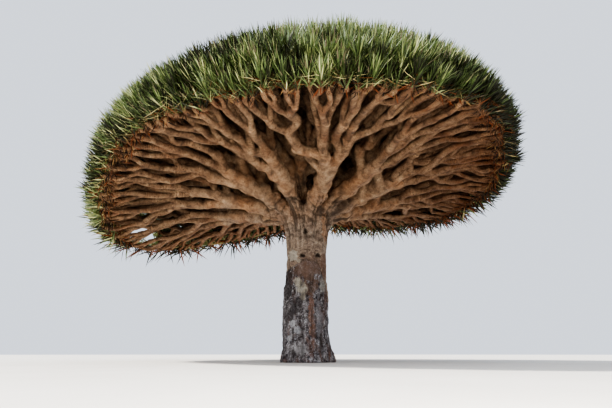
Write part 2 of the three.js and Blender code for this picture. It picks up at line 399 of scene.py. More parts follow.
def make_object(name, verts, faces, materials, which=None, smooth=True, attributes=()):
    """faces is a list of arrays of faces, one array for each number of corners."""
    me = bpy.data.meshes.new(name)
    me.vertices.add(len(verts))
    me.vertices.foreach_set("co", np.ascontiguousarray(verts, np.float32).ravel())
    sizes = np.concatenate([np.full(len(f), f.shape[1]) for f in faces])
    loops = np.concatenate([f.ravel() for f in faces]).astype(np.int32)
    me.loops.add(len(loops))
    me.loops.foreach_set("vertex_index", loops)
    me.polygons.add(len(sizes))
    me.polygons.foreach_set("loop_start", np.concatenate([[0], np.cumsum(sizes)[:-1]]).astype(np.int32))
    if which is not None:
        me.polygons.foreach_set("material_index", which.astype(np.int32))
    me.polygons.foreach_set("use_smooth", np.full(len(sizes), smooth))
    me.update(calc_edges=True)
    for m in materials:
        me.materials.append(m)
    for label, values in attributes:
        me.attributes.new(label, "FLOAT", "POINT").data.foreach_set("value", np.asarray(values, np.float32))
    o = bpy.data.objects.new(name, me)
    bpy.context.scene.collection.objects.link(o)
    return o


def frames_along(line):
    """Sideways directions along centrelines, (S, K, 3) each, that don't twist."""
    way = np.gradient(line, axis=1)
    way = unit(way)
    ref = np.where(np.abs(way[:, :1, 2:3]) < 0.8, np.array([0, 0, 1.0]), np.array([1.0, 0, 0]))[:, 0]
    u = np.zeros_like(line)
    u[:, 0] = unit(np.cross(way[:, 0], ref))
    for k in range(1, line.shape[1]):
        v = u[:, k - 1] - way[:, k] * (u[:, k - 1] * way[:, k]).sum(-1, keepdims=True)
        u[:, k] = unit(v)
    return u, np.cross(way, u), way


# Along a branch: waisted past its fork and swollen before the next one.
SAUSAGE = ([0.0, 0.14, 0.4, 0.72, 0.9, 1.0], [1.12, 1.05, 0.92, 0.96, 1.06, 1.13])


def tubes(group, rings, sides, swell=1.0, rough=0.125, thin_end=False):
    """Closed tubes round the centrelines of a group of segments. Returns vertices and quads."""
    t = np.linspace(0, 1, rings)
    c = np.array([s["c"] for s in group])
    r = np.array([s["r"] for s in group])
    tt = t[None, :, None]
    line = (
        (1 - tt) ** 3 * c[:, 0, None] + 3 * (1 - tt) ** 2 * tt * c[:, 1, None] + 3 * (1 - tt) * tt * tt * c[:, 2, None]
        + tt**3 * c[:, 3, None]
    )
    fade = np.sin(np.pi * t)[None, :, None]
    wave = np.stack([noise3(line * 3.1, 3 + k) for k in range(3)], -1)
    line = line + fade * wave * 0.026
    u, v, way = frames_along(line)
    girth = r[:, None] * np.interp(t, *SAUSAGE)[None]
    if thin_end:
        girth = r[:, None] * np.interp(t, [0, 0.15, 0.5, 0.85, 1], [1.22, 1.06, 0.96, 1.04, 1.0])[None]
    # the start lies inside the parent, and both ends are closed by a dome
    first, last = line[:, :1] - way[:, :1] * girth[:, :1, None] * 0.7, line[:, -1:] + way[:, -1:] * girth[:, -1:, None] * np.array([0.5, 0.82])[None, :, None]
    line = np.concatenate([first, line, last], 1)
    girth = np.concatenate([girth[:, :1] * 0.5, girth, girth[:, -1:] * np.array([[0.84, 0.4]])], 1)
    u = np.concatenate([u[:, :1], u, u[:, -1:], u[:, -1:]], 1)
    v = np.concatenate([v[:, :1], v, v[:, -1:], v[:, -1:]], 1)
    a = np.arange(sides) / sides * 2 * math.pi
    ring = u[:, :, None] * np.cos(a)[None, None, :, None] + v[:, :, None] * np.sin(a)[None, None, :, None]
    mid = line[:, :, None] + ring * girth[:, :, None, None]
    bulge = 1 + 1.5 * rough * noise3(mid * 7.5, 5) + 0.8 * rough * noise3(mid * 19.0, 6)
    at = line[:, :, None] + ring * (girth[:, :, None] * bulge)[..., None] * swell
    count, rows = at.shape[0], at.shape[1]
    verts = at.reshape(-1, 3)
    base = (np.arange(count) * rows * sides)[:, None, None]
    row = (np.arange(rows - 1) * sides)[None, :, None]
    j = np.arange(sides)[None, None]
    nxt = (j + 1) % sides
    quads = np.stack([base + row + j, base + row + nxt, base + row + sides + nxt, base + row + sides + j], -1).reshape(-1, 4)
    caps = np.concatenate(
        [(base[:, 0, 0:1] + np.arange(sides)[::-1][None]), (base[:, 0, 0:1] + (rows - 1) * sides + np.arange(sides)[None])]
    )
    return verts, quads, caps


def trunk_shell():
    """The trunk's own surface, closed, as the base of the fused skin."""
    sides, levels = 64, 90
    z = np.linspace(0, 3.08, levels)
    r = np.interp(z, [p[0] for p in TRUNK_PROFILE], [p[1] for p in TRUNK_PROFILE])
    for _ in range(3):
        r[1:-1] = (r[:-2] + 2 * r[1:-1] + r[2:]) / 4
    a = np.arange(sides) / sides * 2 * math.pi
    foot = np.maximum(0, 1 - z / FLARE_HEIGHT) ** 2
    grid = r[:, None] + FLARE_DEPTH * foot[:, None] * np.cos(FLARE_TOES * a[None] + 0.6)
    # flutes that run up into the boughs
    up = np.clip((z - 1.7) / 1.0, 0, 1)[:, None]
    grid = grid * (1 + 0.045 * up * np.cos(9 * a[None] - 0.3) + 0.025 * up * np.cos(5 * a[None] + 1.0))
    grid = grid * (1 + 0.022 * noise3(np.stack(np.broadcast_arrays(np.cos(a)[None] * 1.6, np.sin(a)[None] * 1.6, z[:, None] * 1.5), -1), 9))
    # slimmer on the right at knee height
    grid = grid - 0.05 * np.exp(-(((z[:, None] - 0.62) / 0.35) ** 2)) * np.maximum(np.cos(a)[None], 0) ** 2
    x = grid * np.cos(a) + lean_at(z)[:, None]
    y = grid * np.sin(a)
    verts = np.stack([x, y, np.broadcast_to(z[:, None], x.shape)], -1).reshape(-1, 3)
    row = (np.arange(levels - 1) * sides)[:, None]
    j = np.arange(sides)[None]
    nxt = (j + 1) % sides
    quads = np.stack([row + j, row + nxt, row + sides + nxt, row + sides + j], -1).reshape(-1, 4)
    caps = np.array([np.arange(sides)[::-1], (levels - 1) * sides + np.arange(sides)])
    return verts, quads, caps


def joined(parts):
    """Vertices and faces by size of several (vertices, faces, faces) parts."""
    verts, by_size, off = [], {}, 0
    for v, *sets in parts:
        verts.append(v)
        for f in sets:
            by_size.setdefault(f.shape[1], []).append(f + off)
        off += len(v)
    return np.concatenate(verts), [np.concatenate(f) for f in by_size.values()]


def apply_all(o):
    """The mesh as its modifiers leave it."""
    dg = bpy.context.evaluated_depsgraph_get()
    me = bpy.data.meshes.new_from_object(o.evaluated_get(dg), depsgraph=dg)
    old = o.data
    o.modifiers.clear()
    o.data = me
    bpy.data.meshes.remove(old)


def corners(o):
    co = np.zeros(len(o.data.vertices) * 3, np.float32)
    o.data.vertices.foreach_get("co", co)
    return co.reshape(-1, 3).astype(float)


def normals(o):
    n = np.zeros(len(o.data.vertices) * 3, np.float32)
    o.data.vertices.foreach_get("normal", n)
    return n.reshape(-1, 3).astype(float)


# Holes in the trunk's front where branches broke off: sideways place, height, radius, and how wide for their height.
PITS = [(-0.035, 2.345, 0.040, 0.80), (-0.09, 1.885, 0.034, 1.5), (0.19, 1.905, 0.038, 1.25)]


def bark_edge(x):
    """Height up to which the trunk keeps its old dark bark. Above it the skin is paler and smoother, and lies deeper."""
    return 1.80 - 1.0 * (x - 0.04) ** 2 - 12 * np.maximum(x - 0.15, 0) ** 2


def bark_relief(co, n):
    """How far out the skin stands at each vertex."""
    out = np.hypot(co[:, 0], co[:, 1])
    on_trunk = np.clip((2.75 - co[:, 2]) / 0.5, 0, 1) * np.clip((0.75 - out) / 0.15, 0, 1)
    ragged = bark_edge(co[:, 0]) + 0.07 * noise3(co * 5.0, 13) + 0.035 * noise3(co * 14.0, 14)
    low = np.clip((ragged - co[:, 2]) / 0.03, 0, 1) * on_trunk
    a = np.arctan2(co[:, 1], co[:, 0])
    wrap = np.stack([np.cos(a) * 3.2, np.sin(a) * 3.2, co[:, 2] * 1.3], -1)
    fissure = 1 - np.abs(noise3(wrap * [2.4, 2.4, 1.2], 1)) * 2
    plates = noise3(wrap * [4.2, 4.2, 5.0], 2)
    d = 0.010 * noise3(co * 6, 4) + 0.008 * noise3(co * 14, 5) + 0.005 * noise3(co * 27, 7)
    d = d + low * (0.006 - 0.020 * np.clip(fissure, 0, 1) ** 2 + 0.012 * plates + 0.007 * noise3(co * 22, 8))
    d = d + (on_trunk - low) * (0.008 * noise3(wrap * [2.0, 2.0, 1.0], 11) + 0.004 * noise3(co * [12, 12, 26], 12))
    # the head, where the boughs part: furrows and knobs
    head = np.clip(1.25 - np.abs(co[:, 2] - 2.78) / 0.55, 0, 1) * np.clip((1.1 - out) / 0.3, 0, 1)
    furrow = 1 - np.abs(noise3(wrap * [3.0, 3.0, 1.0], 15)) * 2
    cross = 1 - np.abs(noise3(co * [7, 7, 9], 17)) * 2
    d = d + head * (0.022 * noise3(co * 6, 16) - 0.046 * np.clip(furrow, 0, 1) ** 3 - 0.026 * np.clip(cross, 0, 1) ** 3)
    for x, z, r, wide in PITS:
        stray = 0.35 * r * noise3(co * 26.0, 18)
        gap = np.hypot((co[:, 0] - x) / wide, co[:, 2] - z) + stray
        brow = 0.020 * np.exp(-(((gap - 1.7 * r) / r) ** 2) * 3) * (co[:, 2] > z - 0.3 * r)
        d = d + np.where(co[:, 1] < 0, brow - 0.070 * np.exp(-((gap / r) ** 2) * 1.5), 0)
    return np.where(co[:, 2] < 0.02, 0, d)


def painted_crown_shade(p, widest, least):
    """1 high inside the crown, where the shade falls, for the share of the way out beyond the least: painted shade."""
    az, polar = on_dome(p)
    z = harmonics(CROWN_RIM, az)
    out = np.hypot(np.hypot(*(p[:, :2] - CROWN_CENTRE).T) / harmonics(CROWN_RADIUS, az), (p[:, 2] - z) / (CROWN_TOP - z))
    return np.clip((widest - np.degrees(polar)) / 16, 0, 1) * np.clip((out - least) / 0.22, 0, 1)


def build_skin(material):
    big = [s for s in segments if s["n"] >= MAIN]
    parts = [trunk_shell(), tubes(big, 14, 16, rough=0.07)]
    verts, faces = joined(parts)
    o = make_object("trunk_and_boughs", verts, faces, [])
    m = o.modifiers.new("fuse", "REMESH")
    m.mode, m.voxel_size, m.adaptivity = "VOXEL", SKIN_VOXEL, 0
    m.use_smooth_shade = True
    s = o.modifiers.new("soften", "SMOOTH")
    s.factor, s.iterations = 0.5, 5
    apply_all(o)
    co = corners(o)
    n = normals(o)
    co = co + n * (bark_relief(co, n) + 0.004)[:, None]
    co[:, 2] = np.maximum(co[:, 2], 0)
    co[:, 2] = np.where(co[:, 2] < 0.013, 0, co[:, 2])
    o.data.vertices.foreach_set("co", co.astype(np.float32).ravel())
    o.data.update()
    tris = sum(len(p.vertices) - 2 for p in o.data.polygons)
    group = o.vertex_groups.new(name="thin")
    out = np.hypot(co[:, 0], co[:, 1])
    away = np.flatnonzero((out > 1.0) | (co[:, 2] > 3.4))
    group.add(away.tolist(), 1.0, "REPLACE")
    if tris > SKIN_TRIANGLES:
        d = o.modifiers.new("thin", "DECIMATE")
        d.ratio = SKIN_TRIANGLES / tris
        d.vertex_group = "thin"
        apply_all(o)
    o.vertex_groups.clear()
    for p in o.data.polygons:
        p.use_smooth = True
    # how deep each place lies, for painted shade in the furrows and pits
    co = corners(o)
    deep = np.clip(-bark_relief(co, None) / 0.02 - 0.15, 0, 1) * (co[:, 2] > 0.02)
    o.data.attributes.new("deep", "FLOAT", "POINT").data.foreach_set("value", deep.astype(np.float32))
    # painted shade: darker inside the crown
    crown_shade = painted_crown_shade(co, 74, 0.42)
    o.data.attributes.new("crown_shade", "FLOAT", "POINT").data.foreach_set("value", crown_shade.astype(np.float32))
    o.data.materials.clear()
    o.data.materials.append(material)
    print("skin", tris, "->", sum(len(p.vertices) - 2 for p in o.data.polygons))
    return o


# ---- Leaves ---------------------------------------------------------------------------------------------------------


def blades(at, way, face, length, width, bow):
    """Sword leaves of three triangles: a strip to the shoulder, and the point. face is the way the blade's flat side looks."""
    side = unit(np.cross(way, face))
    half = (width / 2)[:, None] * side
    mid = at + way * (length * 0.52)[:, None] + face * (bow * 0.35)[:, None]
    tip = at + way * length[:, None] - face * bow[:, None]
    verts = np.stack([at - half * 0.8, at + half * 0.8, mid + half, mid - half, tip], 1)
    k = (np.arange(len(at)) * 5)[:, None]
    quads = k + np.array([[0, 1, 2, 3]])
    points = k + np.array([[3, 2, 4]])
    return verts.reshape(-1, 3), quads, points


def rosettes(ids, per, seed):
    """Leaf positions and directions for a set of tips. Returns arrays over leaves, and the rank of each in its rosette, 0 inmost."""
    g = np.random.default_rng(seed)
    count = len(ids)
    axis = unit(tip_way[ids])
    ref = unit(np.cross(axis, np.array([0.31, 0.2, 0.93])))
    other = np.cross(axis, ref)
    rank = (np.arange(per) + 0.5) / per
    turn = np.arange(per)[None] * 2.399963 + g.uniform(0, 6.28, (count, 1)) + g.normal(0, 0.12, (count, per))
    near, far = at_rim[ids] * np.clip(facing[ids] * 1.5, 0, 1), at_rim[ids] * np.clip(0.3 - facing[ids] * 2.5, 0, 1)
    widest = 74 - 16 * near + 12 * far
    lean = np.radians(4 + widest[:, None] * rank[None] ** 0.74) + g.normal(0, 0.1, (count, per))
    radial = ref[:, None] * np.cos(turn)[..., None] + other[:, None] * np.sin(turn)[..., None]
    way = axis[:, None] * np.cos(lean)[..., None] + radial * np.sin(lean)[..., None]
    face = axis[:, None] * np.sin(lean)[..., None] - radial * np.cos(lean)[..., None]
    face = unit(face + g.normal(0, 0.25, face.shape))
    at = tip_at[ids][:, None] + axis[:, None] * (0.09 - 0.17 * rank[None] ** 1.1)[..., None] + radial * 0.026
    short = 0.2 * np.clip(0.9 + 1.5 * facing[ids], 0, 1) * np.sin(tip_polar[ids]) ** 2
    length = (0.26 + 0.12 * np.sin(np.pi * (0.25 + 0.65 * rank)))[None] + 0.09 * far[:, None] * rank[None] ** 2
    length = length * g.uniform(0.78, 1.1, (count, per)) * (1 - short + 0.34 * far)[:, None]
    # round the sides there are fewer leaves, and broader ones
    beside = np.clip(1.2 - 1.6 * np.abs(facing[ids]), 0, 1)
    width = (0.0175 + 0.0105 * beside + 0.013 * far)[:, None] * g.uniform(0.75, 1.2, (count, per))
    bow = 0.012 * g.normal(0.6, 0.6, (count, per))
    # under the far rim fewer leaves hang down, fewest on the left
    sparse = np.where(tip_at[ids][:, 0] > 0.2, 0.55, 0.75)
    keep = g.random((count, per)) > (sparse * far)[:, None] * np.clip(0.35 - 2.0 * way[..., 2], 0, 1)
    keep &= g.random((count, per)) > 0.28 * beside[:, None]
    for reach in (0, 0.5, 1):
        keep &= ~opened(at + way * (length * reach)[..., None])
    keep = keep.ravel()
    flat = [x.reshape(-1, 3)[keep] for x in (at, way, face)] + [x.ravel()[keep] for x in (length, width, bow)]
    return *flat, np.broadcast_to(rank, (count, per)).ravel()[keep], np.repeat(ids, per)[keep]


# ---- Materials ------------------------------------------------------------------------------------------------------


class Graph:
    """A short way to write a material's nodes."""

    def __init__(self, name):
        self.material = bpy.data.materials.new(name)
        self.material.use_nodes = True
        self.tree = self.material.node_tree
        self.shader = self.tree.nodes["Principled BSDF"]

    def node(self, kind, inputs=None, **settings):
        n = self.tree.nodes.new(kind)
        for key, value in settings.items():
            setattr(n, key, value)
        for key, value in (inputs or {}).items():
            self.put(n.inputs[key], value)
        return n

    def put(self, socket, value):
        if isinstance(value, bpy.types.NodeSocket):
            self.tree.links.new(value, socket)
        else:
            socket.default_value = value

    def noise(self, vector, scale, detail=4.0, rough=0.55, warp=0.0):
        return self.node("ShaderNodeTexNoise", {"Vector": vector, "Scale": scale, "Detail": detail, "Roughness": rough, "Distortion": warp}).outputs["Fac"]

    def math(self, operation, a, b=0.0, clamp=False):
        return self.node("ShaderNodeMath", {0: a, 1: b}, operation=operation, use_clamp=clamp).outputs[0]

    def ramp(self, fac, stops):
        n = self.node("ShaderNodeValToRGB", {"Fac": fac})
        e = n.color_ramp.elements
        while len(e) < len(stops):
            e.new(0.5)
        for el, (pos, colour) in zip(e, stops):
            el.position = pos
            el.color = (*colour, 1) if len(colour) == 3 else colour
        return n.outputs["Color"]

    def between(self, value, low, high):
        """0 below low, 1 above high."""
        return self.node("ShaderNodeMapRange", {"Value": value, "From Min": low, "From Max": high}, clamp=True).outputs[0]

    def mix(self, fac, a, b, kind="MIX"):
        n = self.node("ShaderNodeMix", data_type="RGBA", blend_type=kind)
        self.put(n.inputs[0], fac)
        for socket, value in ((n.inputs[6], a), (n.inputs[7], b)):
            self.put(socket, (*value, 1) if isinstance(value, tuple) and len(value) == 3 else value)
        return n.outputs[2]


def srgb(r, g, b):
    return tuple(((c / 255 + 0.055) / 1.055) ** 2.4 if c > 10 else c / 255 / 12.92 for c in (r, g, b))


# Places on the trunk's front with a finish of their own: sideways place, height, half width, half height, colour, strength.
PATCHES = [
    (0.02, 1.64, 0.34, 0.24, srgb(134, 108, 92), 0.85),  # brown under the edge of the bark
    (0.05, 1.28, 0.12, 0.16, srgb(138, 110, 92), 0.7),
    (-0.36, 1.34, 0.08, 0.32, srgb(48, 44, 46), 0.85),  # charcoal down the left
    (-0.20, 0.98, 0.11, 0.13, srgb(54, 50, 53), 0.75),
    (-0.30, 0.84, 0.11, 0.14, srgb(62, 58, 62), 0.6),
    (-0.175, 1.40, 0.075, 0.09, srgb(202, 196, 180), 0.92),  # bare, smooth and pale, a wedge narrowing downwards
    (-0.10, 1.27, 0.105, 0.10, srgb(196, 190, 174), 0.92),
    (-0.075, 1.13, 0.050, 0.09, srgb(188, 180, 164), 0.9),
    (-0.27, 1.90, 0.09, 0.10, srgb(204, 200, 188), 0.75),  # grey lichen above the edge
    (-0.17, 1.78, 0.06, 0.05, srgb(190, 186, 172), 0.6),
    (0.07, 0.86, 0.05, 0.30, srgb(158, 116, 94), 0.7),  # reddish strips
    (0.10, 0.48, 0.045, 0.22, srgb(146, 108, 88), 0.6),
    (0.31, 1.72, 0.05, 0.30, srgb(122, 80, 62), 0.7),
    (0.33, 1.08, 0.04, 0.22, srgb(108, 76, 64), 0.6),
    (0.28, 1.34, 0.05, 0.14, srgb(188, 186, 178), 0.7),
    (-0.28, 0.66, 0.06, 0.05, srgb(216, 218, 222), 0.8),
    (-0.17, 0.54, 0.06, 0.06, srgb(196, 200, 206), 0.65),
    (-0.32, 0.42, 0.05, 0.06, srgb(200, 204, 208), 0.65),
    (-0.10, 0.22, 0.12, 0.09, srgb(186, 184, 184), 0.6),
    (0.22, 0.76, 0.06, 0.34, srgb(150, 148, 152), 0.6),
    (-0.10, 2.83, 0.07, 0.09, srgb(62, 52, 46), 0.75),
    (0.03, 2.72, 0.04, 0.10, srgb(76, 62, 52), 0.6),
    (-0.46, 2.60, 0.08, 0.13, srgb(62, 54, 50), 0.7),
    (0.34, 2.46, 0.07, 0.26, srgb(186, 136, 96), 0.6),
]


def bark_material():
    g = Graph("bark")
    place = g.node("ShaderNodeTexCoord").outputs["Object"]
    xyz = g.node("ShaderNodeSeparateXYZ", {0: place}).outputs
    broad, mottle, fine = g.noise(place, 1.7, 3), g.noise(place, 7.5, 6, 0.62), g.noise(place, 30, 8, 0.7)
    specks = g.noise(place, 17, 5, 0.7)
    # boughs: brown, redder in patches, with a pale bloom on the smooth stretches
    tan = g.ramp(mottle, [(0.28, srgb(112, 87, 67)), (0.46, srgb(166, 134, 106)), (0.6, srgb(192, 162, 132)), (0.76, srgb(212, 187, 158))])
    rust = g.ramp(mottle, [(0.3, srgb(118, 80, 56)), (0.5, srgb(172, 126, 90)), (0.7, srgb(200, 156, 116))])
    boughs = g.mix(g.math("MULTIPLY", g.between(broad, 0.44, 0.62), 0.8), tan, rust)
    boughs = g.mix(g.math("MULTIPLY", g.between(specks, 0.53, 0.66), 0.45), boughs, srgb(84, 60, 44))
    boughs = g.mix(g.math("MULTIPLY", g.between(fine, 0.54, 0.64), 0.4), boughs, srgb(78, 56, 41))
    # trunk, upper: grey-tan, mottled, wrinkled across
    wrinkles = g.noise(g.node("ShaderNodeMapping", {"Vector": place, "Scale": (5.0, 5.0, 13.0)}).outputs[0], 1.6, 7, 0.68, 0.5)
    streaks = g.noise(g.node("ShaderNodeMapping", {"Vector": place, "Scale": (9.0, 9.0, 3.5)}).outputs[0], 1.6, 6, 0.62, 0.8)
    upper = g.ramp(g.math("ADD", g.math("MULTIPLY", wrinkles, 0.5), g.math("MULTIPLY", streaks, 0.5)), [(0.36, srgb(104, 86, 74)), (0.45, srgb(152, 132, 116)), (0.54, srgb(182, 164, 146)), (0.68, srgb(206, 190, 172))])
    upper = g.mix(g.math("MULTIPLY", g.between(specks, 0.54, 0.64), 0.6), upper, srgb(98, 78, 64))
    # trunk, lower: dark rough bark with grey lichen and reddish strips
    flakes = g.noise(g.node("ShaderNodeMapping", {"Vector": place, "Scale": (9.0, 9.0, 6.5)}).outputs[0], 1.5, 8, 0.74, 0.7)
    lower = g.ramp(flakes, [(0.36, srgb(38, 35, 39)), (0.45, srgb(84, 78, 81)), (0.52, srgb(130, 125, 126)), (0.6, srgb(170, 167, 169)), (0.7, srgb(216, 215, 217))])
    lower = g.mix(g.math("MULTIPLY", g.between(g.noise(g.node("ShaderNodeMapping", {"Vector": place, "Scale": (4.0, 4.0, 1.6)}).outputs[0], 1.6, 5, 0.66, 0.5), 0.53, 0.64), 0.6), lower, srgb(126, 90, 74))
    flecks = g.math("MULTIPLY", g.between(g.noise(place, 44, 4, 0.6), 0.56, 0.64), g.between(g.noise(place, 5.5, 4, 0.6), 0.47, 0.6))
    lower = g.mix(g.math("MULTIPLY", flecks, 0.8), lower, srgb(214, 216, 220))
    warp = g.math("ADD", g.math("MULTIPLY", g.math("SUBTRACT", mottle, 0.5), 2.4), g.math("MULTIPLY", g.math("SUBTRACT", specks, 0.5), 2.4))
    across = g.math("SUBTRACT", xyz[0], 0.04)
    corner = g.math("MAXIMUM", g.math("SUBTRACT", xyz[0], 0.15), 0.0)
    edge = g.math("ADD", xyz[2], g.math("MULTIPLY", across, across))
    edge = g.math("ADD", edge, g.math("MULTIPLY", g.math("MULTIPLY", corner, corner), 12.0))
    edge = g.math("ADD", edge, g.math("MULTIPLY", warp, 0.075))
    trunk = g.mix(g.between(edge, 1.785, 1.815), lower, upper)
    front = g.between(xyz[1], 0.02, -0.06)
    for x, z, sx, sz, colour, much in PATCHES:
        d = g.node("ShaderNodeVectorMath", {0: place, 1: (x, 0, z)}, operation="SUBTRACT").outputs[0]
        d = g.node("ShaderNodeVectorMath", {0: d, 1: (1 / sx, 0.0, 1 / sz)}, operation="MULTIPLY").outputs[0]
        d = g.node("ShaderNodeVectorMath", {0: d}, operation="LENGTH").outputs["Value"]
        inside = g.math("MULTIPLY", g.between(g.math("ADD", d, warp), 1.08, 0.86), front)
        tinted = g.mix(g.math("MULTIPLY", g.math("SUBTRACT", 0.66, fine), 1.1, clamp=True), colour, trunk)
        trunk = g.mix(g.math("MULTIPLY", inside, much), trunk, tinted)
    # painted shadow: a dark line along the edge of the old bark, under its lip
    rim = g.math("SUBTRACT", 1.0, g.math("MULTIPLY", g.math("ABSOLUTE", g.math("SUBTRACT", edge, 1.795)), 45.0), clamp=True)
    rim = g.math("MULTIPLY", rim, g.between(broad, 0.36, 0.5))
    trunk = g.mix(g.math("MULTIPLY", rim, 0.85), trunk, srgb(46, 31, 25))
    # painted shade: the holes are dark inside
    pits = None
    for x, z, r, wide in PITS:
        d = g.node("ShaderNodeVectorMath", {0: place, 1: (x, 0, z)}, operation="SUBTRACT").outputs[0]
        d = g.node("ShaderNodeVectorMath", {0: d, 1: (1.0 / wide, 0.0, 1.0)}, operation="MULTIPLY").outputs[0]
        d = g.node("ShaderNodeVectorMath", {0: d}, operation="LENGTH").outputs["Value"]
        d = g.between(g.math("ADD", d, g.math("MULTIPLY", warp, 0.045)), r * 1.15, r * 0.4)
        pits = d if pits is None else g.math("MAXIMUM", pits, d)
    trunk = g.mix(g.math("MULTIPLY", g.math("MULTIPLY", pits, front), 0.9), trunk, srgb(34, 25, 20))
    height = g.math("ADD", xyz[2], g.math("MULTIPLY", g.math("SUBTRACT", g.noise(place, 3.0, 3), 0.5), 0.9))
    colour = g.mix(g.between(height, 2.35, 2.95), trunk, boughs)
    cracks = g.node("ShaderNodeTexVoronoi", {"Vector": place, "Scale": 26.0, "Randomness": 1.0}, feature="DISTANCE_TO_EDGE").outputs["Distance"]
    cracked = g.between(cracks, 0.0, 0.09)
    colour = g.mix(g.math("MULTIPLY", g.math("SUBTRACT", 1.0, cracked), 0.32), colour, srgb(60, 43, 32))
    # painted shade in the furrows and pits
    deep = g.node("ShaderNodeAttribute", attribute_name="deep").outputs["Fac"]
    colour = g.mix(g.math("MULTIPLY", deep, 0.72), colour, srgb(48, 34, 26))
    # painted shade: darker inside the crown
    crown_shade = g.node("ShaderNodeAttribute", attribute_name="crown_shade").outputs["Fac"]
    colour = g.mix(g.math("MULTIPLY", crown_shade, 0.75), colour, srgb(36, 25, 18))
    g.put(g.shader.inputs["Base Color"], colour)
    g.put(g.shader.inputs["Roughness"], g.math("ADD", g.math("MULTIPLY", fine, 0.25), 0.72))
    relief = g.math("ADD", g.math("MULTIPLY", fine, 0.9), g.math("MULTIPLY", cracked, 0.3))
    relief = g.math("ADD", relief, g.math("MULTIPLY", specks, 1.2))
    bump = g.node("ShaderNodeBump", {"Height": relief, "Strength": 1.0, "Distance": 0.035})
    g.put(g.shader.inputs["Normal"], bump.outputs[0])
    return g.material


def twig_material(name, dark, mid, pale):
    g = Graph(name)
    place = g.node("ShaderNodeTexCoord").outputs["Object"]
    mottle, fine = g.noise(place, 8.0, 5, 0.6), g.noise(place, 36, 7, 0.68)
    rings = g.node("ShaderNodeAttribute", attribute_name="along").outputs["Fac"]
    ringed = g.node("ShaderNodeMath", {0: g.math("MULTIPLY", g.math("ADD", rings, g.math("MULTIPLY", fine, 0.012)), 260.0)}, operation="SINE").outputs[0]
    colour = g.ramp(mottle, [(0.28, dark), (0.5, mid), (0.74, pale)])
    # redder on the far side and on the right
    far = g.between(g.node("ShaderNodeSeparateXYZ", {0: place}).outputs[1], 1.0, 4.2)
    far = g.math("MAXIMUM", far, g.between(g.node("ShaderNodeSeparateXYZ", {0: place}).outputs[0], 1.2, 3.6))
    colour = g.mix(g.math("MULTIPLY", g.math("ADD", g.math("MULTIPLY", far, 1.0), g.between(g.noise(place, 1.9, 3), 0.5, 0.68)), 0.5, clamp=True), colour, g.mix(mottle, srgb(80, 42, 20), srgb(170, 103, 54)))
    specks = g.noise(place, 18, 5, 0.7)
    colour = g.mix(g.math("MULTIPLY", g.between(specks, 0.53, 0.66), 0.5), colour, dark)
    colour = g.mix(g.math("MULTIPLY", g.between(fine, 0.52, 0.64), 0.5), colour, dark)
    colour = g.mix(g.math("MULTIPLY", g.between(ringed, 0.4, 1.0), 0.42), colour, dark)
    # painted shade: darker inside the crown
    crown_shade = g.node("ShaderNodeAttribute", attribute_name="crown_shade").outputs["Fac"]
    colour = g.mix(g.math("MULTIPLY", crown_shade, 0.8), colour, srgb(34, 24, 17))
    g.put(g.shader.inputs["Base Color"], colour)
    g.put(g.shader.inputs["Roughness"], g.math("ADD", g.math("MULTIPLY", fine, 0.25), 0.7))
    relief = g.math("ADD", g.math("ADD", fine, g.math("MULTIPLY", specks, 1.4)), g.math("MULTIPLY", ringed, -0.3))
    g.put(g.shader.inputs["Normal"], g.node("ShaderNodeBump", {"Height": relief, "Strength": 1.0, "Distance": 0.032}).outputs[0])
    return g.material


def leaf_material(name, colour, rough=0.5, through=0.0):
    g = Graph(name)
    g.shader.inputs["Base Color"].default_value = (*colour, 1)
    g.shader.inputs["Roughness"].default_value = rough
    g.shader.inputs["Specular IOR Level"].default_value = 0.4
    return g.material


bark = bark_material()
twig = twig_material("bark_of_branches", srgb(92, 67, 49), srgb(174, 138, 107), srgb(212, 182, 148))
finger = twig_material("bark_of_branch_ends", srgb(98, 70, 51), srgb(180, 140, 106), srgb(214, 179, 142))
GREENS = [
    leaf_material("leaf_mid", srgb(104, 122, 74), 0.44),
    leaf_material("leaf_grey", srgb(148, 162, 132), 0.42),
    leaf_material("leaf_deep", srgb(61, 73, 38), 0.46),
    leaf_material("leaf_yellowish", srgb(158, 168, 116), 0.44),
    leaf_material("leaf_dry", srgb(184, 168, 122), 0.7),
    leaf_material("leaf_rusty", srgb(128, 72, 40), 0.75),
    leaf_material("leaf_shaded", srgb(38, 39, 20), 0.5),
    leaf_material("leaf_brown_tip", srgb(124, 112, 92), 0.6),
    # painted highlight
    leaf_material("leaf_painted_highlight", srgb(206, 208, 158), 0.4),
]
DRY = [
    leaf_material("dead_brown", srgb(98, 64, 40), 0.8),
    leaf_material("dead_tan", srgb(146, 116, 78), 0.8),
    leaf_material("dead_rust", srgb(122, 64, 32), 0.8),
    leaf_material("dead_dark", srgb(34, 24, 17), 0.85),
    leaf_material("dead_pale", srgb(206, 190, 142), 0.7),
]

# ---- Pieces ---------------------------------------------------------------------------------------------------------

nodes = sorted(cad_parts)
wood_nodes = [n for n in nodes if not n.startswith("foliage")]
leaf_nodes = [n for n in nodes if n.startswith("foliage")]
pieces = []

skin = build_skin(bark)
pieces.append((skin, "bough_bark", wood_nodes))


def branch_piece(name, group, plans, material):
    parts, along = [], []
    for low, high, rings, sides, thin in plans:
        chosen = [s for s in group if low <= s["n"] < high]
        if not chosen:
            continue
        v, q, c = tubes(chosen, rings, sides, thin_end=thin)
        parts.append((v, q, c))
        rows = rings + 3
        length = np.array([bezier_length(s["c"]) for s in chosen])
        step = np.concatenate([[-0.03], np.linspace(0, 1, rings), [1.02, 1.04]])
        along.append(np.repeat((length[:, None] * step[None] + np.arange(len(chosen))[:, None] * 0.37).ravel(), sides))
        assert len(along[-1]) == len(v) and rows * sides * len(chosen) == len(v)
    verts, faces = joined(parts)
    # painted shade: darker inside the crown
    crown_shade = painted_crown_shade(verts, 78, 0.58)
    return make_object(name, verts, faces, [material], attributes=[("along", np.concatenate(along)), ("crown_shade", crown_shade)])


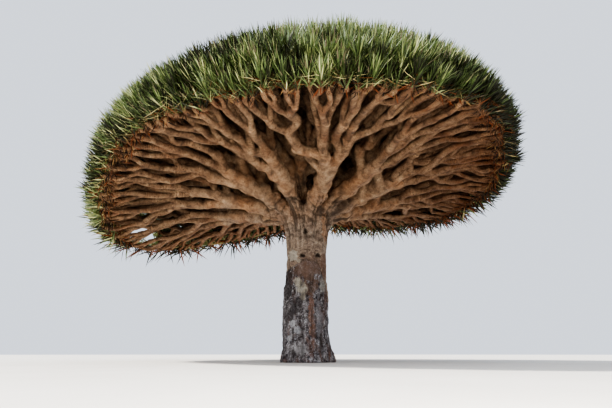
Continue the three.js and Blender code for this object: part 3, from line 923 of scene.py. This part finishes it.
for label, side in (("left", -1), ("right", 1)):
    group = [s for s in segments if (s["c"][3][0] - CROWN_CENTRE[0]) * side > 0]
    branches = branch_piece("branches_" + label, group, [(6, MAIN, 9, 9, False), (2, 6, 6, 7, False)], twig)
    pieces.append((branches, "bough_bark", []))
ends_piece = branch_piece("branch_ends", segments, [(1, 2, 5, 5, True)], finger)
pieces.append((ends_piece, "bough_bark", []))

# Rosettes, dealt out to four quarters of the crown. Each rosette has its own green, and its lowest leaves may be dry.
tone = noise3(tip_at * 0.9, 21) + 0.5 * noise3(tip_at * 2.7, 22) + rng.normal(0, 0.35, TIPS)
# painted light and shade in the greens: deeper to the right, on the near left shoulder and under the far right rim,
# where the shade falls, a little paler at the top middle, and greyer round the left side
lower = 1.7 * round_about(246, 19) - 0.2 * round_about(285, 22) + 2.8 * round_about(342, 42) * (0.42 + 0.58 * at_rim) + 0.9 * round_about(178, 30)
lower += 0.9 * round_about(307, 16) * at_rim
tone = tone + 0.62 - (lower + 1.2 * round_about(34, 26) * at_rim) * np.sin(tip_polar) ** 2
green = np.select([tone < -1.1, tone < -0.3, tone < 0.35, tone < 0.85], [6, 2, 0, 1], 3)
PALER, DEEPER = np.array([3, 3, 0, 1, 4, 5, 2, 7, 8]), np.array([2, 0, 6, 0, 4, 5, 6, 7, 8])
sunlit = np.clip(0.35 - 0.75 * np.cos(tip_az), 0.05, 1) + 0.9 * round_about(314, 22) * (1 - at_rim)
quarter = (np.degrees(tip_az) % 360 // 90).astype(int)
leaf_count = 0
for q in range(4):
    ids = np.flatnonzero(quarter == q)
    at, way, face, length, width, bow, rank, per = rosettes(ids, LEAVES, 100 + q)
    g = np.random.default_rng(200 + q)
    which = green[per]
    lot = g.random(len(per))
    which = np.where(lot < 0.24, PALER[which], np.where(lot > 0.66, DEEPER[which], which))
    # painted highlight: some leaves take the brightest green, more of them where the sun falls
    which = np.where((g.random(len(per)) < 0.16 * sunlit[per]) & (which < 4), 8, which)
    low = (rank > 0.88) & (g.random(len(per)) < 0.04 + 0.24 * at_rim[per])
    which = np.where(low, np.where(g.random(len(per)) < 0.6, 4, 5), which)
    # the leaves that show under the far rim are dark, painted shade, with rusty ones among them
    under = at_rim[per] * np.clip(-facing[per] * 2, 0, 1) * np.clip(0.7 - way[:, 2] * 2, 0, 1) > g.random(len(per))
    which = np.where(under, np.where(g.random(len(per)) < 0.75, 6, 5), which)
    v, quads, points = blades(at, way, face, length, width, bow)
    # the points of some leaves are paler, a painted highlight where the sun catches them; a few are brown, dry tips
    lot = g.random(len(per))
    end = np.where(which < 4, np.where(lot < 0.2, PALER[which], np.where(lot > 0.92, 7, which)), which)
    o = make_object(f"leaves_{q + 1}", v, [quads, points], GREENS, np.concatenate([which, end]), smooth=False)
    leaf_count += 3 * len(at)
    mine = [n for k, n in enumerate(leaf_nodes) if k % 4 == q]
    pieces.append((o, "leaves", mine))

# Dead leaves hang back from under each rosette, more of them round the sides of the rim.
sideways = np.clip((np.abs(np.cos(tip_az)) - 0.45) * 3, 0, 1)
many = 1 + (at_rim > 0.35) * (facing < 0.75) * (facing > -0.4) + (at_rim > 0.1) * (sideways > 0.5) * (np.cos(tip_az) < 0)
ids = np.repeat(np.arange(TIPS), many)
axis = unit(tip_way[ids])
ref = unit(np.cross(axis, np.array([0.3, 0.5, 0.8])))
other = np.cross(axis, ref)
turn = np.arange(DEAD)[None] * 2.399963 + rng.uniform(0, 6.28, (len(ids), 1)) + rng.normal(0, 0.2, (len(ids), DEAD))
lean = np.radians(rng.uniform(92, 150, (len(ids), DEAD)))
radial = ref[:, None] * np.cos(turn)[..., None] + other[:, None] * np.sin(turn)[..., None]
way = axis[:, None] * np.cos(lean)[..., None] + radial * np.sin(lean)[..., None] + np.array([0, 0, -0.35])
way = unit(way).reshape(-1, 3)
back = rng.uniform(0.02, 0.13, (len(ids), DEAD, 1)) * (1 + 0.7 * sideways[ids])[:, None, None]
at = (tip_at[ids][:, None] - axis[:, None] * back + radial * 0.03).reshape(-1, 3)
face = unit(np.cross(way, unit(rng.normal(0, 1, way.shape))))
count = len(way)
long = rng.uniform(0.11, 0.24, count) * np.repeat(1 - 0.4 * np.abs(facing[ids]) * at_rim[ids], DEAD)
thin = rng.uniform(0.011, 0.018, count)
bow = rng.normal(0.0, 0.02, count)
which = rng.choice(4, count, p=[0.34, 0.12, 0.18, 0.36])
which = np.where(np.repeat(at_rim[ids], DEAD) < rng.random(count) * 0.8, 3, which)  # painted shade: dark inside the crown
# Fine dry strands lie along the near edge.
edge = np.repeat(np.flatnonzero((tip_polar > math.radians(84)) & (facing > 0.1)), 5)
course = np.stack([-np.sin(tip_az[edge]), np.cos(tip_az[edge]), 0 * edge], -1) * rng.choice([-1, 1], len(edge))[:, None]
course = unit(course + 0.5 * tip_out[edge] * rng.uniform(-0.2, 1, (len(edge), 1)) + rng.normal(0, 0.3, (len(edge), 3)) + np.array([0, 0, -0.1]))
at = np.concatenate([at, tip_at[edge] + tip_out[edge] * 0.05 + rng.normal(0, 0.03, (len(edge), 3))])
way = np.concatenate([way, course])
face = np.concatenate([face, unit(np.cross(course, unit(rng.normal(0, 1, course.shape))))])
long = np.concatenate([long, rng.uniform(0.14, 0.34, len(edge))])
thin = np.concatenate([thin, rng.uniform(0.005, 0.009, len(edge))])
bow = np.concatenate([bow, rng.normal(0.02, 0.03, len(edge))])
dry = rng.choice([4, 1, 2], len(edge), p=[0.42, 0.2, 0.38])
which = np.concatenate([which, np.where((tip_at[edge][:, 0] > 1.6) & (dry == 4), 2, dry)])  # only rusty ones on the right
clear = ~(opened(at) | opened(at + way * long[:, None]))
at, way, face, long, thin, bow, which = (x[clear] for x in (at, way, face, long, thin, bow, which))
v, quads, points = blades(at, way, face, long, thin, bow)
dead = make_object("dead_leaves", v, [quads, points], DRY, np.concatenate([which, which]), smooth=False)
pieces.append((dead, "leaves", []))
for o, *_ in pieces:
    print(o.name, "triangles", sum(len(p.vertices) - 2 for p in o.data.polygons))
print("leaf triangles", leaf_count, "dead", 3 * len(at))

for o, slot, replaced in pieces:
    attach(o, "root")
    if replaced:
        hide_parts(*replaced)

# ---- Floor, light and air -------------------------------------------------------------------------------------------

a = np.arange(96) / 96 * 2 * math.pi
floor = make_object("floor", np.stack([60 * np.cos(a), 60 * np.sin(a), 0 * a - 0.002], -1), [np.arange(96)[None]], [], smooth=False)
g = Graph("floor")
place = g.node("ShaderNodeTexCoord").outputs["Object"]
g.put(g.shader.inputs["Base Color"], g.ramp(g.noise(place, 0.8, 5), [(0.3, (0.70, 0.67, 0.62)), (0.7, (0.76, 0.73, 0.68))]))
g.shader.inputs["Roughness"].default_value = 0.9
floor.data.materials.append(g.material)

world = bpy.data.worlds.new("studio")
world.use_nodes = True
world.node_tree.nodes["Background"].inputs["Color"].default_value = (0.84, 0.90, 1.0, 1)
world.node_tree.nodes["Background"].inputs["Strength"].default_value = 0.95
bpy.context.scene.world = world
bpy.context.scene.view_settings.look = "AgX - High Contrast"


def lamp(name, kind, energy, at, to, size=None, colour=(1, 1, 1), angle=None):
    data = bpy.data.lights.new(name, kind)
    data.energy = energy
    data.color = colour
    if size:
        data.shape = "DISK"
        data.size = size
    if angle:
        data.angle = math.radians(angle)
    o = bpy.data.objects.new(name, data)
    bpy.context.scene.collection.objects.link(o)
    o.location = at
    d = np.array(to, float) - np.array(at, float)
    o.rotation_euler = (math.acos(-d[2] / np.linalg.norm(d)), 0, math.atan2(d[1], d[0]) - math.pi / 2)
    o.visible_camera = False
    return o


lamp("key", "SUN", 4.8, (-9, 0.5, 10.5), (0, 0, 0), colour=(1.0, 0.96, 0.9), angle=5)
lamp("fill", "AREA", 380, (-3, -11, 9), (0, -2.0, 3.8), size=4.0, colour=(0.96, 0.98, 1.0))
lamp("bounce", "AREA", 60, (0.5, -8.0, 1.3), (0, -1.0, 3.4), size=2.5, colour=(1.0, 0.92, 0.82))
# light thrown up from the ground
lamp("ground", "AREA", 50, (0, 0, 0.02), (0, 0, 3), size=9.0, colour=(1.0, 0.92, 0.82))
